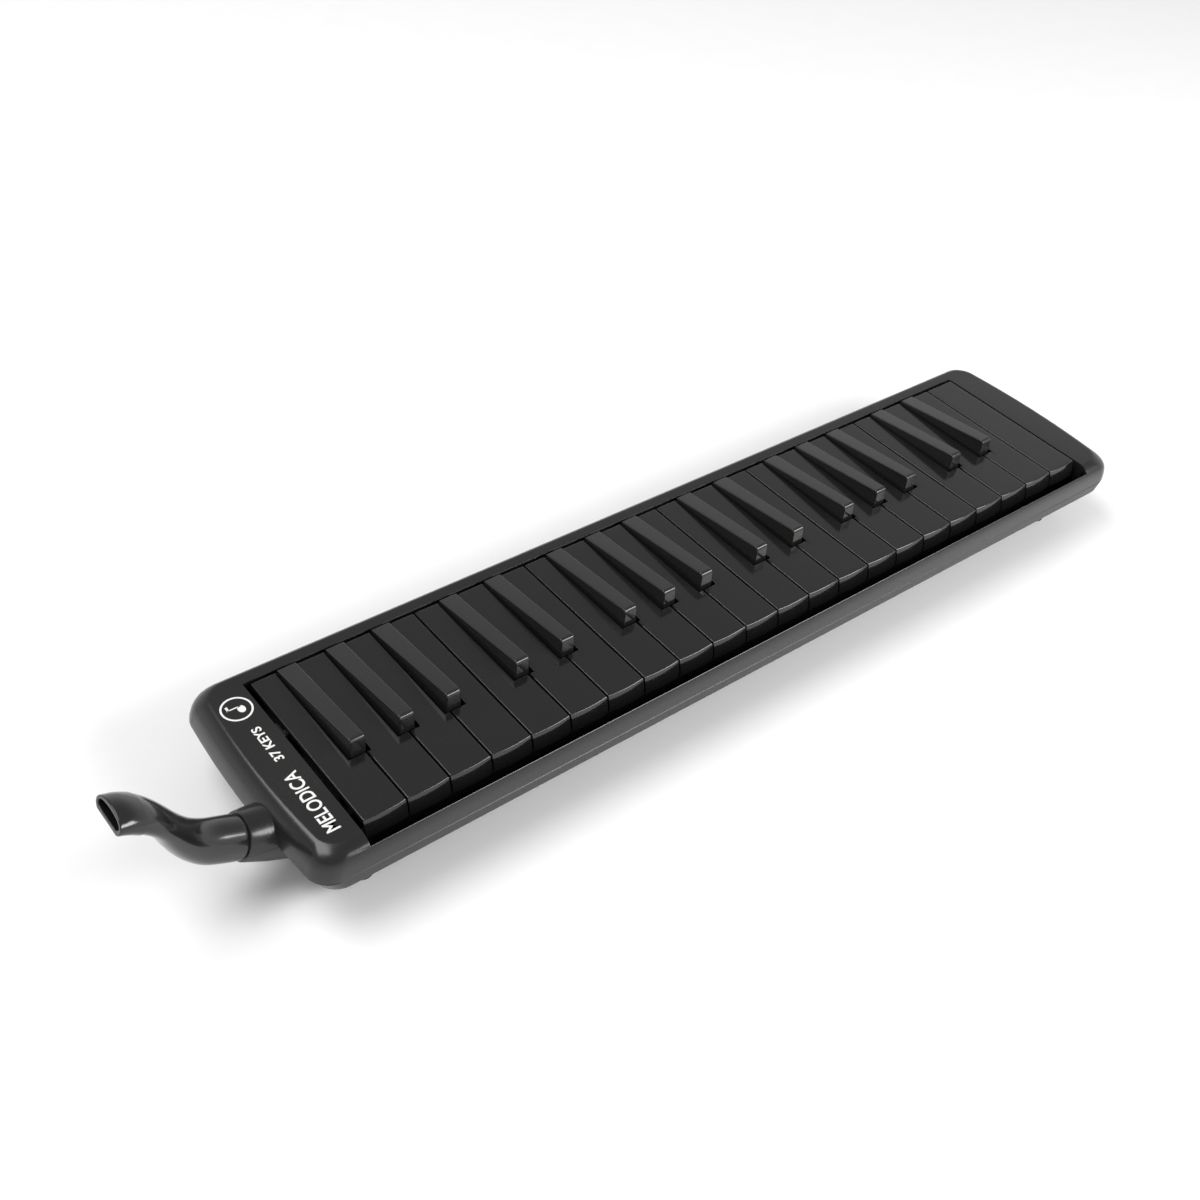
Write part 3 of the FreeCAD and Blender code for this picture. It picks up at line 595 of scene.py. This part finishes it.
def makeLowerCase():
    c = caseSizes
    floor, inside = c["floor"], c["floor"] + c["wall"]
    front, rear, end = c["foot"]
    groove = c["groove"]
    sections = [(c["split"], groove, groove, groove), (c["split"] - groove, 0.02, 0.02, 0.2)]
    for t, part in c["lower"]:
        sections.append((c["band"] + (floor - c["band"]) * t, 0.02 + part * front, 0.02 + part * rear,
                         c["waist"] + part * (end - c["waist"])))
    piece = outlineBlock("lower_case_shell", sections)
    inner = [(c["split"] + 0.5, 0, 0, 0), (c["band"], 0, 0, c["waist"]), (inside, *c["foot"])]
    carve(piece, outlineBlock("cavity", inner, c["wall"]))
    spots = [(x, y) for x in c["screwX"] for y in c["screwY"]]
    holes = [(x, y, c["well"], floor - 1, inside - 0.02) for x, y in spots]
    holes.append((*c["drain"], floor - 1, inside + 2))
    carve(piece, roundCutter("wells", holes))
    carve(piece, boreCutter())
    # Four cross ribs carry the air chamber, and a long one stands in front of it
    ribs = [((x - 1, x + 1), (18, 84), (inside - 0.1, c["standTop"])) for x in c["standX"]]
    stands = boxCutter("stands", *ribs, ((2, c["length"] - 2), (3.7, 5.5), (inside - 0.1, -15)))
    columns = roundCutter("posts", [(x, y, c["post"], inside - 0.2, c["split"]) for x, y in spots])
    carve(columns, roundCutter("ways", [(x, y, c["way"], floor, -10) for x, y in spots]))
    carve(columns, roundCutter("heads", [(x, y, c["well"], floor, floor + 8) for x, y in spots]))
    joinPieces(piece, [stands, columns, makeBoss("lower_boss", False)])
    finishPiece(piece, "lower case plastic", 38, 0.3)
    attach(piece, "case", "case_plastic", "lower_case")
    print("lower case made", flush=True)


mouthSizes = {
    "wall": 1.7, "ring": 48, "between": 4, "lip": 0.4,
    # the beak is a hair fuller than the tube, from this station on
    "beak": 33, "beakStep": 0.3,
    "spigot": ((15.6, -5.68, 20, 6.7, 6.7, 1), (0.2, -0.07, 20, 6.7, 6.7, 1), (0.1, -0.04, 20, 8.6, 8.6, 1)),
    # along, up, lean in degrees, half width, half thickness, and how round the underside is
    "stations": ((-0.5, 0.2, 20, 9.2, 9.2, 1), (-6.6, 3.0, 25, 9.2, 9.1, 1), (-13.0, 6.4, 31, 9.1, 8.7, 1),
                 (-17.6, 10.6, 45, 9.0, 7.7, 1), (-21.3, 15.4, 56, 9.0, 6.8, 1),
                 (-24.6, 21.2, 62, 9.1, 6.0, 1), (-27.6, 27.2, 62, 9.3, 5.35, 1),
                 (-30.8, 32.6, 54, 9.5, 4.95, 0.9), (-34.8, 37.6, 42, 9.6, 4.7, 0.72),
                 (-39.6, 41.3, 28, 9.6, 4.35, 0.64), (-44.4, 43.3, 20, 9.5, 3.8, 0.62)),
}


# More stations between the given ones, on a smooth curve
def curveThrough(stations, parts):
    found = []
    for i in range(len(stations) - 1):
        a, b = stations[max(i - 1, 0)], stations[i]
        c, d = stations[i + 1], stations[min(i + 2, len(stations) - 1)]
        for j in range(parts):
            t = j / parts
            found.append(tuple(0.5 * (2 * q + (r - p) * t + (2 * p - 5 * q + 4 * r - s) * t * t
                                      + (3 * q - p - 3 * r + s) * t ** 3) for p, q, r, s in zip(a, b, c, d)))
    return found + [stations[-1]]


# One oval ring, pressed flat underneath, then leant and put in its place
def addRing(x, z, tilt, wide, thick, roundness):
    bench = Vector((1, 0, 0))
    full = 2 * thick / (1 + roundness)
    level = bench + Vector((0, 0, -thick)) * 0.001
    bpy.ops.mesh.select_all(action="DESELECT")
    bpy.ops.mesh.primitive_circle_add(vertices=mouthSizes["ring"], radius=0.001, location=bench)
    lean(90, bench)
    grow(1, wide, full, bench)
    shift(0, 0, thick - full)
    pick(lambda c, n: c.x > 900 and c.z < (level - drawOrigin).z * 1000)
    grow(1, 1, 0, level)
    pick(lambda c, n: c.x > 900)
    lean(tilt, bench)
    bpy.ops.transform.translate(value=Vector((x, 0, z)) * 0.001 - bench)


# Open tube through a row of rings, bridged one pair at a time
def runTube(name, stations, shrink):
    piece = begin("plane", name, size=1)
    bpy.ops.mesh.delete(type="VERT")
    # Leaving edit mode for a moment keeps the order of the vertices that follow
    bpy.ops.object.mode_set(mode="OBJECT")
    bpy.ops.object.mode_set(mode="EDIT")
    for i, (x, z, tilt, wide, thick, roundness) in enumerate(stations):
        addRing(x, z, tilt, wide - shrink, thick - shrink, roundness)
        if i:
            bpy.ops.mesh.select_mode(type="EDGE")
            bpy.ops.mesh.select_all(action="DESELECT")
            mesh = bmesh.from_edit_mesh(piece.data)
            mesh.verts.index_update()
            for edge in mesh.edges:
                first, last = sorted(vertex.index // mouthSizes["ring"] for vertex in edge.verts)
                edge.select = first == last and first >= i - 1
            bmesh.update_edit_mesh(piece.data)
            bpy.ops.mesh.bridge_edge_loops()
    bpy.ops.mesh.select_all(action="SELECT")
    bpy.ops.transform.translate(value=mouthSpot)
    bpy.ops.object.mode_set(mode="OBJECT")
    return piece


def makeMouthpiece():
    m = mouthSizes
    count, spigot, step = m["ring"], list(m["spigot"]), m["beakStep"]
    stations = curveThrough(m["stations"], m["between"])
    outer = []
    for i, (x, z, tilt, wide, thick, roundness) in enumerate(stations):
        if i == m["beak"]:
            outer.append((x + 0.15, z - 0.1, tilt, wide - step, thick - step, roundness))
        trim = step if i < m["beak"] else 0.0
        outer.append((x, z, tilt, wide - trim, thick - trim, roundness))
    skin = runTube("mouthpiece_shell", spigot + outer, 0.0)
    bore = runTube("bore", spigot[:1] + stations, m["wall"])
    joinPieces(skin, [bore])
    # The skin and the bore share one wall at the joint and another at the lip
    bpy.ops.object.mode_set(mode="EDIT")
    mesh = bmesh.from_edit_mesh(skin.data)
    mesh.verts.ensure_lookup_table()
    first, total = count * len(spigot + outer), len(mesh.verts)
    for a, b in ((0, first), (first - count, total - count)):
        for i in range(count):
            j = (i + 1) % count
            mesh.faces.new([mesh.verts[k] for k in (a + i, a + j, b + j, b + i)])
    bmesh.update_edit_mesh(skin.data)
    setNormals()
    pick(lambda c, n: n.x < -0.8 and c.z > 25 and c.x < -79, "FACE")
    bpy.ops.mesh.region_to_loop()
    bpy.ops.mesh.bevel(offset=m["lip"] * 0.001, segments=3, affect="EDGES")
    finishPiece(skin, "mouthpiece plastic", 34)
    attach(skin, "mouthpiece", "mouthpiece_plastic", "mouthpiece")
    print("mouthpiece made", flush=True)


printSizes = {
    "words": (("MELODICA", -7.4, 2.0, 8.2, 33.5), ("37 KEYS", -7.6, 43.0, 5.4, 20.0)),
    "ring": (-10.4, 76.0, 6.6), "ringWidth": 0.8, "noteHead": 1.6, "level": -1.03,
    # the quaver's stem and flag: length, width, then how far it moves
    "strokes": ((6.0, 0.55, -0.9, 0.75), (1.0, 2.4, -3.3, 1.7)),
}


# Generic lettering and a ring with a quaver, as a thin layer of white ink
def makePrint():
    made = []
    for words, x, y, size, width in printSizes["words"]:
        bpy.ops.object.select_all(action="DESELECT")
        bpy.ops.object.text_add()
        item = bpy.context.object
        item.data.body, item.data.size, item.data.extrude = words, size * 0.001, 0.00003
        item.data.offset = 0.00012
        bpy.ops.object.convert(target="MESH")
        item = bpy.context.object
        item.scale[0] = width * 0.001 / item.dimensions[0]
        item.rotation_euler = (0, 0, math.radians(90))
        item.location = at(x, y, printSizes["level"])
        bpy.ops.object.transform_apply(location=True, rotation=True, scale=True)
        made.append(item)
    x, y, radius = printSizes["ring"]
    ring = begin("circle", "printed_ring", vertices=64, radius=radius * 0.001, fill_type="NGON")
    bpy.ops.mesh.inset(thickness=printSizes["ringWidth"] * 0.001)
    bpy.ops.mesh.delete(type="FACE")
    bpy.ops.mesh.select_all(action="DESELECT")
    bpy.ops.mesh.primitive_circle_add(vertices=32, radius=printSizes["noteHead"] * 0.001, fill_type="NGON")
    grow(1, 1.25, 1)
    shift(1.7, -0.9, 0)
    for long, wide, x2, y2 in printSizes["strokes"]:
        bpy.ops.mesh.select_all(action="DESELECT")
        bpy.ops.mesh.primitive_plane_add(size=0.001)
        grow(long, wide, 1)
        shift(x2, y2, 0)
    bpy.ops.mesh.select_all(action="SELECT")
    extrudeBy(0, 0, 0.05)
    bpy.ops.mesh.select_all(action="SELECT")
    bpy.ops.transform.translate(value=at(x, y, printSizes["level"] - 0.02))
    bpy.ops.object.mode_set(mode="OBJECT")
    piece = joinPieces(made[0], made[1:] + [ring])
    piece.name = piece.data.name = "printed_words"
    piece.data.materials.clear()
    finishPiece(piece, "print")
    attach(piece, "case", "case_plastic")
    print("print made", flush=True)


makeKeys()
makeUpperCase()
makeLowerCase()
makeMouthpiece()
makePrint()


studio = {
    "turn": -43.44, "rise": 41.61, "roll": 7.341, "lens": 43.917, "place": (-180.18, -302.06, 428.03),
    "floor": 8, "low": (1.0, 1.0, 1.0), "overhead": (0.34, 0.34, 0.34),
    # place, size and power of each soft light
    "lights": {"overhead light": ((-0.7, 0.5, 1.7), (1.4, 1.0), 22),
               "side light": ((0.85, -1.15, 0.95), (1.0, 0.5), 19)},
}


def setCamera():
    turn, rise, roll = (math.radians(studio[name]) for name in ("turn", "rise", "roll"))
    back = Vector((math.sin(turn) * math.cos(rise), -math.cos(turn) * math.cos(rise), math.sin(rise)))
    level = (-back).cross(Vector((0, 0, 1))).normalized()
    tall = level.cross(-back)
    right = math.cos(roll) * level + math.sin(roll) * tall
    up = math.cos(roll) * tall - math.sin(roll) * level
    data = bpy.data.cameras.new("view")
    data.sensor_width = 36.0
    data.lens = studio["lens"]
    camera = bpy.data.objects.new("view", data)
    bpy.context.scene.collection.objects.link(camera)
    place = at(*studio["place"])
    camera.matrix_world = Matrix.Translation(place) @ Matrix((right, up, back)).transposed().to_4x4()
    bpy.context.scene.camera = camera


def softBox(name, place, size, power):
    data = bpy.data.lights.new(name, "AREA")
    data.shape, data.size, data.size_y, data.energy = "RECTANGLE", size[0], size[1], power
    lamp = bpy.data.objects.new(name, data)
    lamp.location = place
    lamp.rotation_euler = (-Vector(place)).to_track_quat("-Z", "Y").to_euler()
    bpy.context.scene.collection.objects.link(lamp)


def makeStudio():
    bpy.ops.object.select_all(action="DESELECT")
    bpy.ops.mesh.primitive_plane_add(size=studio["floor"], location=(0, 0, 0))
    floor = bpy.context.object
    floor.name = "floor"
    paper = bpy.data.materials.new("paper")
    paper.use_nodes = True
    tree = paper.node_tree
    coords = addNode(tree, "ShaderNodeTexCoord", {}, {}, 3)
    shade = mix(tree, grain(tree, coords, 40.0), (0.92, 0.92, 0.92), (0.95, 0.95, 0.95))
    tree.links.new(shade.socket, tree.nodes["Principled BSDF"].inputs["Base Color"])
    tree.nodes["Principled BSDF"].inputs["Roughness"].default_value = 0.9
    floor.data.materials.append(paper)
    world = bpy.data.worlds.new("studio")
    bpy.context.scene.world = world
    world.use_nodes = True
    tree = world.node_tree
    # Bright low down, dimmer overhead, so that the tops stay dark and the flanks catch light
    ray = addNode(tree, "ShaderNodeTexCoord", {}, {}, 0)
    height = addNode(tree, "ShaderNodeSeparateXYZ", {}, [ray], 2)
    sky = mix(tree, height.above(0.42, 0.3), studio["low"], studio["overhead"])
    tree.links.new(sky.socket, tree.nodes["Background"].inputs[0])
    tree.nodes["Background"].inputs[1].default_value = 1.0
    for name, light in studio["lights"].items():
        softBox(name, *light)
    bpy.context.scene.view_settings.view_transform = "Standard"


setCamera()
makeStudio()
print("scene ready", flush=True)
